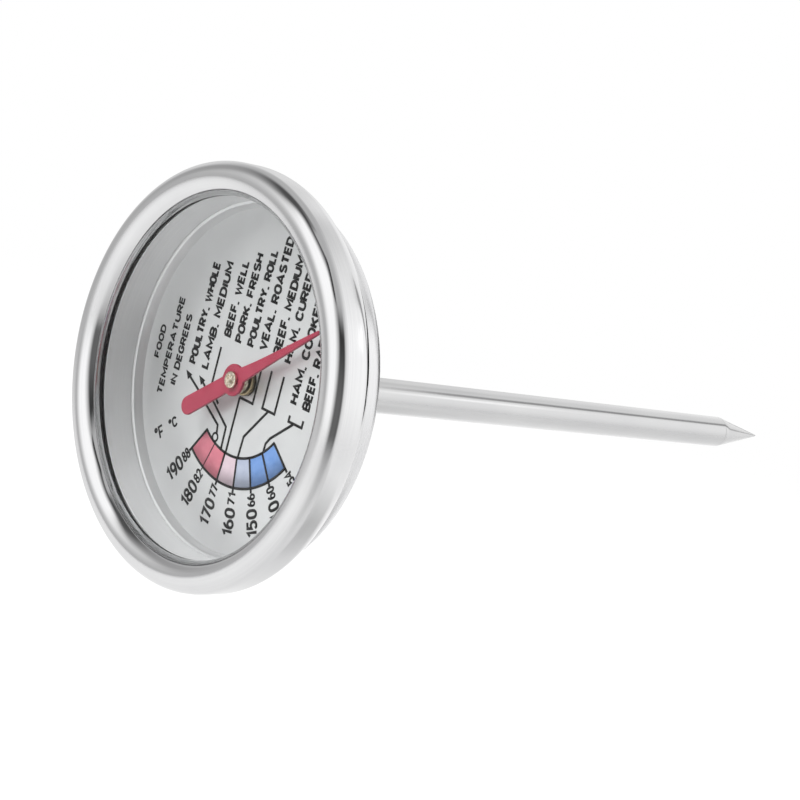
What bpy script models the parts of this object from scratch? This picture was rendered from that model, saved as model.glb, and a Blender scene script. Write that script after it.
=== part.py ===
"""Meat thermometer with a bimetal coil: a round dial head on a pointed steel stem.

Frame: the stem's axis is the Y axis, with the point towards +Y and the dial facing -Y. The
origin is on that axis, at the end face of the case's boss, where the stem leaves the head.
Every length below is in millimetres, and every turned profile is a list of (radius, y) points.
"""

from math import cos, pi, radians, sin

import bmesh
import bpy

MM = 0.001

# Driving dimensions of the head.
BEZEL_R = 27.5
BEZEL_NOSE = 1.96
BEZEL_ROLL = 1.6
WINDOW_R = 23.2
CASE_R = 25.0
CASE_CORNER = 2.5
SHEET = 0.6
GAP = 0.3
FRONT_Y = -12.65
LIP_ROLL = BEZEL_R - BEZEL_NOSE - WINDOW_R
LIP_Y = FRONT_Y + LIP_ROLL
LIP_EDGE = 0.25
BEZEL_REAR_Y = -6.1
FLANGE_R = BEZEL_R - SHEET - 0.7
FLANGE_Y = BEZEL_REAR_Y - SHEET - GAP
BACK_Y = -1.95
BOSS_R = 8.0
BOSS_EDGE = 0.8
LENS_THICK = 0.5
LENS_EDGE = 0.25
GASKET_EDGE = 0.15
WALL_THICK = 0.7

# Driving dimensions of the dial and pointer.
DIAL_Y = -3.32
DIAL_THICK = 0.5
DIAL_FLAT_R = 21.6
DIAL_RIM_R = 23.9
DIAL_RIM_Y = -4.78
DIAL_MARGIN_R = DIAL_RIM_R - 0.5
DIAL_HOLE_R = 1.9
EYELET_NECK_R = 1.55
EYELET_FLANGE_R = 1.9
EYELET_FLANGE_THICK = 0.45
POINTER_Y = -5.76
POINTER_THICK = 0.45
POINTER_TIP = 17.2
POINTER_TIP_W = 0.4
POINTER_TAIL = 11.1
POINTER_TAIL_W = 2.5
POINTER_BOSS_R = 2.1
POINTER_HOLE_R = 1.3
BLADE_ROOT = 27
TAIL_ROOT = 143
POINTER_REST = 36.9
HUB_NECK_R = POINTER_HOLE_R - 0.25
HUB_FLANGE_R = 1.6
HUB_FLANGE_THICK = 0.75
HUB_PLAY = 0.15
HUB_HEAD = 0.5

# Driving dimensions of the stem.
STEM_R = 2.5
STEM_WALL = 0.42
STEM_TOP_Y = -1.7
FERRULE_R = 4.3
FERRULE_END_Y = 2.2
LOCK_RING_R = 5.6
LOCK_RING_THICK = 0.8
POINT_START_Y = 99.8
POINT_SHOULDER = 0.6
POINT_PLUG = 2.5
STEM_END_Y = 112.35
SPINDLE_R = 0.5
RUNNING = 0.06
PRESS_FIT = 0.1

# The sensing coil sits in the last part of the stem.
COIL_START_Y = 62.0
COIL_END_Y = 94.0
COIL_TURNS = 13
COIL_R = 1.35
COIL_STEPS = 12
STRIP_WIDTH = 1.7
STRIP_THICK = 0.2
COLLET_LENGTH = 3.4 - GAP
UPPER_BUSH_Y = 0.5
UPPER_BUSH_LENGTH = 4.0
LOWER_BUSH_Y = COIL_START_Y - 9.0
LOWER_BUSH_LENGTH = 3.5
BUSH_EDGE = 0.2
ANCHOR_THICK = 1.6

RING_STEPS = 48
STEM_STEPS = 32
SMALL_STEPS = 24
SPINDLE_STEPS = 16
SHARP_ANGLE = 35
WELD = 0.000001

MATERIALS = {
    "polished_steel": ((0.62, 0.62, 0.63), 0.16, 1.0),
    "satin_steel": ((0.55, 0.55, 0.56), 0.32, 1.0),
    "clear_glass": ((0.85, 0.92, 0.92), 0.03, 0.0),
    "black_rubber": ((0.02, 0.02, 0.02), 0.7, 0.0),
    "dial_aluminium": ((0.55, 0.55, 0.55), 0.45, 0.4),
    "red_paint": ((0.55, 0.03, 0.06), 0.4, 0.0),
    "brass": ((0.62, 0.5, 0.25), 0.3, 1.0),
    "bimetal": ((0.42, 0.38, 0.34), 0.4, 1.0),
}


def material(name):
    """The named Principled material, made on first use."""
    found = bpy.data.materials.get(name)
    if found:
        return found
    made = bpy.data.materials.new(name)
    made.use_nodes = True
    colour, roughness, metallic = MATERIALS[name]
    shader = made.node_tree.nodes["Principled BSDF"]
    shader.inputs["Base Color"].default_value = (*colour, 1.0)
    shader.inputs["Roughness"].default_value = roughness
    shader.inputs["Metallic"].default_value = metallic
    return made


def arc(centre_r, centre_y, radius, start, end, steps):
    """Points on an arc in the (radius, y) plane; 0 degrees points outwards and 90 towards +y."""
    angles = [radians(start + (end - start) * i / steps) for i in range(steps + 1)]
    return [(centre_r + radius * cos(a), centre_y + radius * sin(a)) for a in angles]


def link(obj, parent, surface):
    """Puts an object in the parts collection, under a parent, with its material."""
    PARTS.objects.link(obj)
    obj.parent = parent
    obj.data.materials.clear()
    obj.data.materials.append(material(surface))
    return obj


def baked(obj):
    """Replaces an object's mesh by its evaluated mesh, shaded smooth with sharp edges kept."""
    graph = bpy.context.evaluated_depsgraph_get()
    mesh = bpy.data.meshes.new_from_object(obj.evaluated_get(graph))
    obj.modifiers.clear()
    obj.data = mesh
    mesh.shade_smooth()
    mesh.set_sharp_from_angle(angle=radians(SHARP_ANGLE))
    return obj


def turned(name, surface, profile, steps=RING_STEPS, parent=None):
    """A closed or axis-to-axis (radius, y) profile, turned about the stem's axis.

    The profile runs from high y to low y down its outer side.
    """
    mesh = bpy.data.meshes.new(name)
    points = [(r * MM, 0.0, y * MM) for r, y in profile]
    count = len(points)
    edges = [(i, i + 1) for i in range(count - 1)]
    if min(r for r, _ in profile) > 0:
        edges.append((count - 1, 0))
    mesh.from_pydata(points, edges, [])
    obj = link(bpy.data.objects.new(name, mesh), parent or HEAD, surface)
    screw = obj.modifiers.new("turn", "SCREW")
    screw.axis = "Z"
    screw.steps = steps
    screw.render_steps = steps
    screw.use_merge_vertices = True
    screw.merge_threshold = WELD
    return baked(obj)


def ring(name, surface, inner, outer, low, high, steps=RING_STEPS, parent=None, edge=0.0):
    """A plain ring or washer with an optional bevelled outer edge."""
    profile = [(outer - edge, high), (outer, high - edge), (outer, low + edge), (outer - edge, low)]
    if edge == 0.0:
        profile = [(outer, high), (outer, low)]
    return turned(name, surface, [*profile, (inner, low), (inner, high)], steps, parent)


def bezel_ring():
    """Half-round rolled ring: outer skin from the rear crimp over the front to the lip, and back."""
    nose_r = BEZEL_R - BEZEL_NOSE
    nose_y = FRONT_Y + BEZEL_NOSE
    rear_r = BEZEL_R - BEZEL_ROLL
    rear_y = BEZEL_REAR_Y - BEZEL_ROLL
    outside = [
        *arc(rear_r, rear_y, BEZEL_ROLL, 90, 0, 4),
        *arc(nose_r, nose_y, BEZEL_NOSE, 0, -75, 5),
        *arc(nose_r, LIP_Y, LIP_ROLL, -90, -180, 6),
        (WINDOW_R, LIP_Y + LIP_EDGE),
    ]
    inside = [
        (WINDOW_R + SHEET, LIP_Y + LIP_EDGE),
        *arc(nose_r, LIP_Y, LIP_ROLL - SHEET, -180, -90, 5),
        *arc(nose_r, nose_y, BEZEL_NOSE - SHEET, -70, 0, 3),
        *arc(rear_r, rear_y, BEZEL_ROLL - SHEET, 0, 90, 3),
        (CASE_R + GAP, BEZEL_REAR_Y - SHEET),
        (CASE_R + GAP, BEZEL_REAR_Y),
    ]
    return turned("bezel_ring", "polished_steel", outside + inside)


def case_cup():
    """Drawn cup: flange under the bezel, wall, rounded corner, flat back and central boss."""
    corner_r = CASE_R - CASE_CORNER
    corner_y = BACK_Y - CASE_CORNER
    hole_r = STEM_R + GAP
    outside = [
        (hole_r, 0.0),
        *arc(BOSS_R - BOSS_EDGE, -BOSS_EDGE, BOSS_EDGE, 90, 0, 3),
        (BOSS_R, BACK_Y),
        *arc(corner_r, corner_y, CASE_CORNER, 90, 0, 5),
        (CASE_R, FLANGE_Y),
        (FLANGE_R, FLANGE_Y),
        (FLANGE_R, FLANGE_Y - SHEET),
    ]
    inside = [
        (CASE_R - SHEET, FLANGE_Y - SHEET),
        *arc(corner_r, corner_y, CASE_CORNER - SHEET, 0, 90, 4),
        (BOSS_R - SHEET, BACK_Y - SHEET),
        (BOSS_R - SHEET, -SHEET),
        (hole_r, -SHEET),
    ]
    return turned("case_cup", "satin_steel", outside + inside)


def glazing():
    """Lens, the gasket it is pressed on, and the wall that stands on the dial's rim."""
    lens_front = LIP_Y + LIP_EDGE + GAP
    lens_back = lens_front + LENS_THICK
    lens = [
        (0.0, lens_back),
        (FLANGE_R - LENS_EDGE, lens_back),
        (FLANGE_R, lens_back - LENS_EDGE),
        (FLANGE_R, lens_front + LENS_EDGE),
        (FLANGE_R - LENS_EDGE, lens_front),
        (0.0, lens_front),
    ]
    turned("lens", "clear_glass", lens)
    gasket_front = lens_back + GAP
    gasket_back = FLANGE_Y - SHEET - GAP
    gasket_inner = CASE_R - SHEET
    ring("lens_gasket", "black_rubber", gasket_inner, FLANGE_R, gasket_front, gasket_back, edge=GASKET_EDGE)
    wall_outer = CASE_R - SHEET - GAP
    wall_inner = wall_outer - WALL_THICK
    ring("spacer_ring", "satin_steel", wall_inner, wall_outer, gasket_front, DIAL_RIM_Y - GAP)


def dial_plate():
    """Dished plate: flat printed face, a swept margin and a narrow raised rim."""
    back_y = DIAL_Y + DIAL_THICK
    face = [
        (DIAL_FLAT_R + 0.15, back_y),
        (DIAL_MARGIN_R - 0.1, back_y - 0.9),
        (DIAL_RIM_R, DIAL_RIM_Y + DIAL_THICK),
        (DIAL_RIM_R, DIAL_RIM_Y),
        (DIAL_MARGIN_R, DIAL_RIM_Y),
        (DIAL_MARGIN_R - 0.45, DIAL_RIM_Y + 0.2),
        (DIAL_FLAT_R, DIAL_Y - 0.25),
        (DIAL_FLAT_R - 0.6, DIAL_Y),
        (DIAL_HOLE_R, DIAL_Y),
        (DIAL_HOLE_R, back_y),
    ]
    return turned("dial_plate", "dial_aluminium", face)


def dial_eyelet():
    """Flanged brass eyelet that sits in the dial's centre hole with clearance to the spindle."""
    bore = SPINDLE_R + RUNNING
    back_y = DIAL_Y + DIAL_THICK + GAP
    flange_back = DIAL_Y - GAP
    flange_front = flange_back - EYELET_FLANGE_THICK
    profile = [
        (EYELET_NECK_R, back_y),
        (EYELET_NECK_R, flange_back),
        (EYELET_FLANGE_R, flange_back),
        (EYELET_FLANGE_R, flange_front + 0.2),
        (EYELET_FLANGE_R - 0.2, flange_front),
        (bore, flange_front),
        (bore, back_y),
    ]
    return turned("dial_eyelet", "brass", profile, SMALL_STEPS)


def stem():
    """Stem tube, its closing point, and the collars that hold it in the case."""
    inner = STEM_R - STEM_WALL
    ring("stem_tube", "satin_steel", inner, STEM_R, STEM_TOP_Y, POINT_START_Y, STEM_STEPS)
    plug_r = inner - GAP
    shoulder_y = POINT_START_Y + GAP
    point = [
        (0.0, STEM_END_Y),
        (0.12, STEM_END_Y - 0.15),
        (STEM_R, shoulder_y + POINT_SHOULDER),
        (STEM_R, shoulder_y),
        (plug_r, shoulder_y),
        (plug_r, POINT_START_Y - POINT_PLUG),
        (0.0, POINT_START_Y - POINT_PLUG),
    ]
    turned("stem_point", "satin_steel", point, STEM_STEPS)
    hole = STEM_R + GAP
    ring("stem_ferrule", "satin_steel", hole, FERRULE_R, GAP, FERRULE_END_Y, STEM_STEPS, edge=0.3)
    high = -SHEET - GAP
    low = high - LOCK_RING_THICK
    ring("stem_lock_ring", "satin_steel", hole, LOCK_RING_R, low, high, STEM_STEPS, edge=0.15)


def guides():
    """Bushes that guide the spindle in the stem, and the plug that anchors the coil."""
    bore = SPINDLE_R + RUNNING
    outer = STEM_R - STEM_WALL - GAP
    for name, low, length in (
        ("upper_bush", UPPER_BUSH_Y, UPPER_BUSH_LENGTH),
        ("lower_bush", LOWER_BUSH_Y, LOWER_BUSH_LENGTH),
    ):
        ring(name, "brass", bore, outer, low, low + length, SMALL_STEPS, edge=BUSH_EDGE)
    low = COIL_END_Y + GAP
    high = low + ANCHOR_THICK
    anchor = [(0.0, high), (outer - BUSH_EDGE, high), (outer, high - BUSH_EDGE), (outer, low), (0.0, low)]
    turned("coil_anchor", "brass", anchor, SMALL_STEPS)


def bimetal_coil():
    """Flat strip wound to a helix about the stem's axis, with its broad side facing outwards."""
    half = STRIP_WIDTH / 2
    length = COIL_END_Y - COIL_START_Y - STRIP_WIDTH
    count = COIL_TURNS * COIL_STEPS + 1
    curve = bpy.data.curves.new("bimetal_coil", "CURVE")
    curve.dimensions = "3D"
    curve.twist_mode = "Z_UP"
    curve.fill_mode = "FULL"
    curve.bevel_depth = STRIP_THICK / 2 * MM
    curve.bevel_resolution = 0
    curve.extrude = (half - STRIP_THICK / 2) * MM
    curve.use_fill_caps = True
    spline = curve.splines.new("POLY")
    spline.points.add(count - 1)
    for i, point in enumerate(spline.points):
        angle = 2 * pi * i / COIL_STEPS
        rise = COIL_START_Y + half + length * i / (count - 1)
        point.co = (COIL_R * cos(angle) * MM, COIL_R * sin(angle) * MM, rise * MM, 1.0)
    return link(bpy.data.objects.new("bimetal_coil", curve), HEAD, "bimetal")


def spindle():
    """Thin shaft from the coil's collet through both bushes and the eyelet to the hub."""
    low = POINTER_Y - GAP
    collet_end = COIL_START_Y - GAP
    high = collet_end - 0.4
    profile = [(0.0, high), (SPINDLE_R, high), (SPINDLE_R, low), (0.0, low)]
    turned("spindle", "satin_steel", profile, SPINDLE_STEPS, PIVOT)
    bore = SPINDLE_R + PRESS_FIT
    outer = COIL_R + STRIP_THICK / 2
    collet_start = collet_end - COLLET_LENGTH
    ring("coil_collet", "brass", bore, outer, collet_start, collet_end, SMALL_STEPS, PIVOT, 0.15)


def pointer_outline():
    """Needle's outline: long taper, round boss and a broad tail with a round end."""

    def bow(centre_x, radius, angles):
        return [(centre_x + radius * cos(radians(a)), radius * sin(radians(a))) for a in angles]

    half_tip = POINTER_TIP_W / 2
    half_tail = POINTER_TAIL_W / 2
    upper = [(POINTER_TIP, half_tip)]
    upper += bow(0.0, POINTER_BOSS_R, (BLADE_ROOT, 50, 70, 90, 110, 130, TAIL_ROOT))
    upper += bow(half_tail - POINTER_TAIL, half_tail, (90, 120, 150))
    return upper + [(x, -y) for x, y in reversed(upper)]


def pointer():
    """Red needle, cut from sheet with a round hole, and the brass hub that carries it."""
    hole = [(POINTER_HOLE_R * cos(2 * pi * i / 20), POINTER_HOLE_R * sin(2 * pi * i / 20)) for i in range(20)]
    curve = bpy.data.curves.new("pointer_outline", "CURVE")
    curve.dimensions = "2D"
    curve.fill_mode = "BOTH"
    curve.extrude = POINTER_THICK / 2 * MM
    for points in (pointer_outline(), hole):
        spline = curve.splines.new("POLY")
        spline.points.add(len(points) - 1)
        spline.use_cyclic_u = True
        for point, (x, y) in zip(spline.points, points):
            point.co = (x * MM, y * MM, 0.0, 1.0)
    blank = bpy.data.objects.new("pointer_blank", curve)
    PARTS.objects.link(blank)
    graph = bpy.context.evaluated_depsgraph_get()
    mesh = bpy.data.meshes.new_from_object(blank.evaluated_get(graph))
    bpy.data.objects.remove(blank)
    welded = bmesh.new()
    welded.from_mesh(mesh)
    bmesh.ops.remove_doubles(welded, verts=welded.verts, dist=WELD)
    welded.to_mesh(mesh)
    welded.free()
    needle = link(bpy.data.objects.new("pointer", mesh), PIVOT, "red_paint")
    needle.location.z = (POINTER_Y + POINTER_THICK / 2) * MM
    mesh.shade_smooth()
    mesh.set_sharp_from_angle(angle=radians(SHARP_ANGLE))


def pointer_hub():
    """Turned hub: flange under the needle, neck through its hole, and a head in front of it."""
    bore = SPINDLE_R + PRESS_FIT
    flange_front = POINTER_Y + POINTER_THICK + HUB_PLAY
    flange_back = flange_front + HUB_FLANGE_THICK
    head_y = POINTER_Y - HUB_HEAD
    hub = [
        (HUB_FLANGE_R, flange_back),
        (HUB_FLANGE_R, flange_front),
        (HUB_NECK_R, flange_front),
        (HUB_NECK_R, head_y + HUB_HEAD / 2),
        (HUB_NECK_R - 0.2, head_y),
        (bore, head_y),
        (bore, flange_back),
    ]
    turned("pointer_hub", "brass", hub, SMALL_STEPS, PIVOT)


for old in list(bpy.data.objects):
    bpy.data.objects.remove(old, do_unlink=True)

PARTS = bpy.data.collections.new("meat_thermometer")
bpy.context.scene.collection.children.link(PARTS)

# Parts are made with the stem along local +Z, and this empty lays that axis along world +Y.
HEAD = bpy.data.objects.new("stem_axis", None)
HEAD.rotation_euler = (radians(-90), 0.0, 0.0)
PARTS.objects.link(HEAD)

# The moving pieces hang from the pivot, which lies on the joint's axis at the rest angle.
PIVOT = bpy.data.objects.new("pointer_pivot", None)
PIVOT.parent = HEAD
PIVOT.rotation_euler = (0.0, 0.0, radians(-POINTER_REST))
PARTS.objects.link(PIVOT)

bezel_ring()
case_cup()
glazing()
dial_plate()
dial_eyelet()
stem()
guides()
bimetal_coil()
spindle()
pointer()
pointer_hub()
bpy.context.view_layer.update()
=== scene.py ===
"""Meat thermometer: the visible pieces, finishes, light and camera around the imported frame.

The stem lies along +Y, the dial faces -Y and +Z is up. Lengths of the pieces are in
millimetres, and those of the stage, lamp and camera are in metres. Every turned profile is a
list of (radius, y) points about the stem's axis.
"""

from math import acos, atan2, cos, degrees, pi, radians, sin

import bmesh
import bpy
from mathutils import Matrix, Vector


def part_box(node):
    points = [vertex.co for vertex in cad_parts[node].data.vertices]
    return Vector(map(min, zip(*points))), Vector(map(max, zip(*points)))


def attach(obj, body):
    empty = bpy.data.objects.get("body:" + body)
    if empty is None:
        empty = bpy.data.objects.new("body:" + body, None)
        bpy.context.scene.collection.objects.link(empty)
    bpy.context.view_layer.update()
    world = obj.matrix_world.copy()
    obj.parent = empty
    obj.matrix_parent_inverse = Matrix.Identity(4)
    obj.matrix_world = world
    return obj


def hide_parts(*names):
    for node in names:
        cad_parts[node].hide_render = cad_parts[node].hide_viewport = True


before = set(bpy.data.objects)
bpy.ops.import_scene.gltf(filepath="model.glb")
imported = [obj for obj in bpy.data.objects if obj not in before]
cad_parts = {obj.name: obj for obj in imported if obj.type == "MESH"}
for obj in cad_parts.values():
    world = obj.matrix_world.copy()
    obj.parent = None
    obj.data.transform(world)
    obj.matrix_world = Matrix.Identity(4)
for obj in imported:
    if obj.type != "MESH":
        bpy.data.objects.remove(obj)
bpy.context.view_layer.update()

MM = 0.001
RING_STEPS = 240
STEM_STEPS = 96

# Sizes that the frame's boxes do not give.
SHEET = 0.6
WINDOW_R = 23.2
NOSE_R = 1.96
ROLL_R = 2.6
LIP_SHORTER = 0.4
CASE_R = 25.0
CASE_CORNER = 2.5
BACK_Y = -1.95
BOSS_R = 8.0
WALL_THICK = 0.7
GASKET_BORE_R = 24.4
DIAL_THICK = 0.5
DIAL_HOLE_R = 1.9
INK = 0.018
STEM_WALL = 0.42


def span(node):
    """(reach in +X, front y, rear y) of a CAD node in mm; a round node's reach is its radius."""
    low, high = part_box(node)
    return high.x / MM, low.y / MM, high.y / MM


BEZEL_R, FRONT_Y, BEZEL_REAR_Y = span("bezel_ring")
LENS_R, LENS_FRONT, LENS_REAR = span("lens")
WALL_R = span("spacer_ring")[0]
DIAL_R, DIAL_RIM_Y, DIAL_BACK_Y = span("dial_plate")
STEM_R, STEM_TOP_Y, TUBE_END_Y = span("stem_tube")
TIP_Y = span("stem_point")[2]
FLANGE_R, FLANGE_FRONT = span("case_cup")[:2]
POINTER_Y, POINTER_REAR = span("pointer")[1:]
DIAL_Y = DIAL_BACK_Y - DIAL_THICK
# Centre of the bezel's inner roll, and the end of its lip.
LIP_Y = LENS_FRONT - 0.55
LIP_END = LENS_FRONT - LIP_SHORTER


# ---------------------------------------------------------------- mesh helpers

def arc(centre_r, centre_y, radius, start, end, steps):
    """Points on an arc in the (radius, y) plane; 0 degrees points outwards and 90 towards +y."""
    angles = [radians(start + (end - start) * i / steps) for i in range(steps + 1)]
    return [(centre_r + radius * cos(a), centre_y + radius * sin(a)) for a in angles]


def finish_mesh(name, mesh, body, materials, sharp=32):
    """Makes the object, shades it smooth with sharp edges, and sets its body and slot."""
    mesh.name = name
    made = bpy.data.objects.new(name, mesh)
    bpy.context.scene.collection.objects.link(made)
    mesh.shade_smooth()
    if sharp:
        mesh.set_sharp_from_angle(angle=radians(sharp))
    for item in materials if isinstance(materials, list) else [materials]:
        mesh.materials.append(item)
    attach(made, body)
    return made


def turned(profile, steps):
    """Mesh of a (radius, y) profile turned about the Y axis; it closes on itself off the axis."""
    verts, rows = [], []
    for r, y in profile:
        if r < 1e-6:
            rows.append([len(verts)] * steps)
            verts.append((0.0, y * MM, 0.0))
            continue
        start = len(verts)
        rows.append([start + k for k in range(steps)])
        for k in range(steps):
            a = 2 * pi * k / steps
            verts.append((r * MM * cos(a), y * MM, r * MM * sin(a)))
    if min(r for r, _ in profile) > 1e-6:
        rows.append(rows[0])
    faces = []
    for upper, lower in zip(rows, rows[1:]):
        for k in range(steps):
            j = (k + 1) % steps
            corners = [upper[k], upper[j], lower[j], lower[k]]
            face = list(dict.fromkeys(corners))
            if len(face) > 2:
                faces.append(face)
    mesh = bpy.data.meshes.new("turned")
    mesh.from_pydata(verts, [], faces)
    work = bmesh.new()
    work.from_mesh(mesh)
    bmesh.ops.recalc_face_normals(work, faces=work.faces)
    work.to_mesh(mesh)
    work.free()
    return mesh


def lathe(name, profile, body, material, nodes=(), steps=RING_STEPS, sharp=32):
    """A turned piece that stands for the named CAD nodes."""
    made = finish_mesh(name, turned(profile, steps), body, material, sharp)
    if nodes:
        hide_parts(*nodes)
    return made


def prism(work, outline, front, thickness, material=0):
    """Adds a closed flat plate to a bmesh, from an (x, z) outline in millimetres."""
    near = [work.verts.new((x * MM, front * MM, z * MM)) for x, z in outline]
    far = [work.verts.new((x * MM, (front + thickness) * MM, z * MM)) for x, z in outline]
    faces = [work.faces.new(near), work.faces.new(list(reversed(far)))]
    count = len(outline)
    for i in range(count):
        j = (i + 1) % count
        faces.append(work.faces.new((near[j], near[i], far[i], far[j])))
    for face in faces:
        face.material_index = material


def sector(inner, outer, start, end, steps=12):
    """Outline of a piece of a ring between two radii and two angles in degrees."""
    angles = [radians(start + (end - start) * i / steps) for i in range(steps + 1)]
    far = [(outer * cos(a), outer * sin(a)) for a in angles]
    near = [(inner * cos(a), inner * sin(a)) for a in reversed(angles)]
    return far + near


def ribbon(work, points, width, front, thickness):
    """Adds a closed flat line of even width through the (x, z) points to a bmesh."""
    half = width / 2
    sharpest = 0.55
    loop = points[0] == points[-1]
    dirs = [(Vector(b) - Vector(a)).normalized() for a, b in zip(points, points[1:])]
    left, right = [], []
    for i, point in enumerate(points):
        before = dirs[i - 1] if i or loop else dirs[0]
        after = dirs[i] if i < len(dirs) else dirs[0 if loop else -1]
        normal = Vector((-before.y - after.y, before.x + after.x)).normalized()
        reach = half / max(normal.dot(Vector((-after.y, after.x))), sharpest)
        left.append(Vector(point) + normal * reach)
        right.append(Vector(point) - normal * reach)
    if loop:
        left, right = left[:-1], right[:-1]
    back = front + thickness
    corners = ((left, front), (right, front), (right, back), (left, back))
    rows = [[work.verts.new((p.x * MM, y * MM, p.y * MM)) for p in side] for side, y in corners]
    count = len(left)
    for i in range(count if loop else count - 1):
        j = (i + 1) % count
        for one, two in zip(rows, rows[1:] + rows[:1]):
            work.faces.new((one[i], one[j], two[j], two[i]))
    if not loop:
        work.faces.new([row[0] for row in rows])
        work.faces.new([row[-1] for row in reversed(rows)])


def bow(cx, cy, rx, ry, start, end, steps=8):
    """Points on part of an ellipse, angles in degrees, counter-clockwise when end is larger."""
    turns = [radians(start + (end - start) * i / steps) for i in range(steps + 1)]
    return [(cx + rx * cos(t), cy + ry * sin(t)) for t in turns]


def oval(cx, cy, rx, ry, steps=16):
    """A closed ellipse."""
    points = bow(cx, cy, rx, ry, 90, 450, steps)
    return points[:-1] + points[:1]


# Letters as lines in a box one unit wide and one high. Each entry is (width, lines), and the
# widths say how wide the letters are beside each other.
TALL_O = bow(0.5, 0.64, 0.5, 0.36, 0, 180) + bow(0.5, 0.36, 0.5, 0.36, 180, 360)
TALL_O = TALL_O + TALL_O[:1]
BOWL = [(0, 1), *bow(0.52, 0.74, 0.46, 0.26, 90, -90), (0, 0.48)]
BELLY = [*bow(0.4, 0.6, 0.6, 0.4, 90, 0), *bow(0.4, 0.4, 0.6, 0.4, 0, -90)]
HOOK = [*bow(0.5, 0.66, 0.5, 0.34, 20, 180), *bow(0.5, 0.34, 0.5, 0.34, 180, 340)]
GLYPHS = {
    "A": (0.72, [[(0, 0), (0.5, 1), (1, 0)], [(0.17, 0.3), (0.83, 0.3)]]),
    "B": (0.58, [BOWL, [(0, 1), (0, 0), *bow(0.52, 0.24, 0.48, 0.24, -90, 90), (0, 0.48)]]),
    "C": (0.6, [HOOK]),
    "D": (0.6, [[(0, 0), (0, 1), *BELLY, (0, 0)]]),
    "E": (0.5, [[(1, 1), (0, 1), (0, 0), (1, 0)], [(0, 0.52), (0.9, 0.52)]]),
    "F": (0.5, [[(1, 1), (0, 1), (0, 0)], [(0, 0.5), (0.9, 0.5)]]),
    "G": (0.6, [[*HOOK, (1, 0.46), (0.55, 0.46)]]),
    "H": (0.58, [[(0, 0), (0, 1)], [(1, 0), (1, 1)], [(0, 0.52), (1, 0.52)]]),
    "I": (0.0, [[(0, 0), (0, 1)]]),
    "K": (0.58, [[(0, 0), (0, 1)], [(1, 1), (0, 0.38)], [(0.32, 0.6), (1, 0)]]),
    "L": (0.48, [[(0, 1), (0, 0), (1, 0)]]),
    "M": (0.74, [[(0, 0), (0, 1), (0.5, 0.3), (1, 1), (1, 0)]]),
    "N": (0.58, [[(0, 0), (0, 1), (1, 0), (1, 1)]]),
    "O": (0.62, [TALL_O]),
    "P": (0.56, [[(0, 0), *BOWL]]),
    "R": (0.58, [[(0, 0), *BOWL], [(0.48, 0.48), (1, 0)]]),
    "S": (0.56, [[*bow(0.5, 0.76, 0.47, 0.24, 25, 250), *bow(0.5, 0.25, 0.5, 0.25, 75, -155)]]),
    "T": (0.58, [[(0, 1), (1, 1)], [(0.5, 1), (0.5, 0)]]),
    "U": (0.6, [[(0, 1), *bow(0.5, 0.34, 0.5, 0.34, 180, 360), (1, 1)]]),
    "V": (0.68, [[(0, 1), (0.5, 0), (1, 1)]]),
    "W": (0.9, [[(0, 1), (0.25, 0), (0.5, 0.85), (0.75, 0), (1, 1)]]),
    "Y": (0.66, [[(0, 1), (0.5, 0.45), (1, 1)], [(0.5, 0.45), (0.5, 0)]]),
    ",": (0.1, [[(0.6, 0.1), (0.3, -0.16)]]),
    " ": (0.18, []),
    "0": (0.5, [TALL_O]),
    "1": (0.24, [[(0, 0.76), (1, 1), (1, 0)]]),
    "2": (0.5, [[*bow(0.5, 0.7, 0.48, 0.3, 165, -25), (0, 0), (1, 0)]]),
    "3": (0.5, [[*bow(0.48, 0.76, 0.44, 0.24, 150, -90), *bow(0.48, 0.26, 0.5, 0.26, 90, -150)]]),
    "4": (0.54, [[(0.76, 0), (0.76, 1), (0, 0.28), (1, 0.28)]]),
    "5": (0.5, [[(0.95, 1), (0.12, 1), (0.05, 0.54), *bow(0.48, 0.32, 0.5, 0.32, 115, -150)]]),
    "6": (0.5, [oval(0.5, 0.3, 0.5, 0.3), [*bow(0.62, 0.36, 0.62, 0.64, 92, 180)]]),
    "7": (0.5, [[(0, 1), (1, 1), (0.4, 0)]]),
    "8": (0.5, [oval(0.5, 0.76, 0.42, 0.24), oval(0.5, 0.26, 0.5, 0.26)]),
    "9": (0.5, [oval(0.5, 0.7, 0.5, 0.3), [*bow(0.38, 0.64, 0.62, 0.64, -88, 0)]]),
    "\u00b0": (0.26, [oval(0.5, 0.86, 0.5, 0.14)]),
}


def letter(work, text, start, heading, length, height, weight, front, thickness):
    """Adds a line of text to a bmesh: start is the (x, z) of its baseline, heading in degrees."""
    along = Vector((cos(radians(heading)), sin(radians(heading))))
    up = Vector((-along.y, along.x))
    gap = 0.26
    widths = [GLYPHS[char][0] for char in text]
    natural = sum(widths) + gap * (len(text) - 1)
    stretch = (length - weight) / natural
    rise = height - weight
    pen = 0.0
    for char, width in zip(text, widths):
        for line in GLYPHS[char][1]:
            points = [
                Vector(start)
                + along * (weight / 2 + (pen + x * width) * stretch)
                + up * (weight / 2 + y * rise)
                for x, y in line
            ]
            flat = [tuple(p) for p in points]
            if line[0] == line[-1]:
                flat[-1] = flat[0]
            ribbon(work, flat, weight, front, thickness)
        pen += width + gap


# ---------------------------------------------------------------- materials

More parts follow.
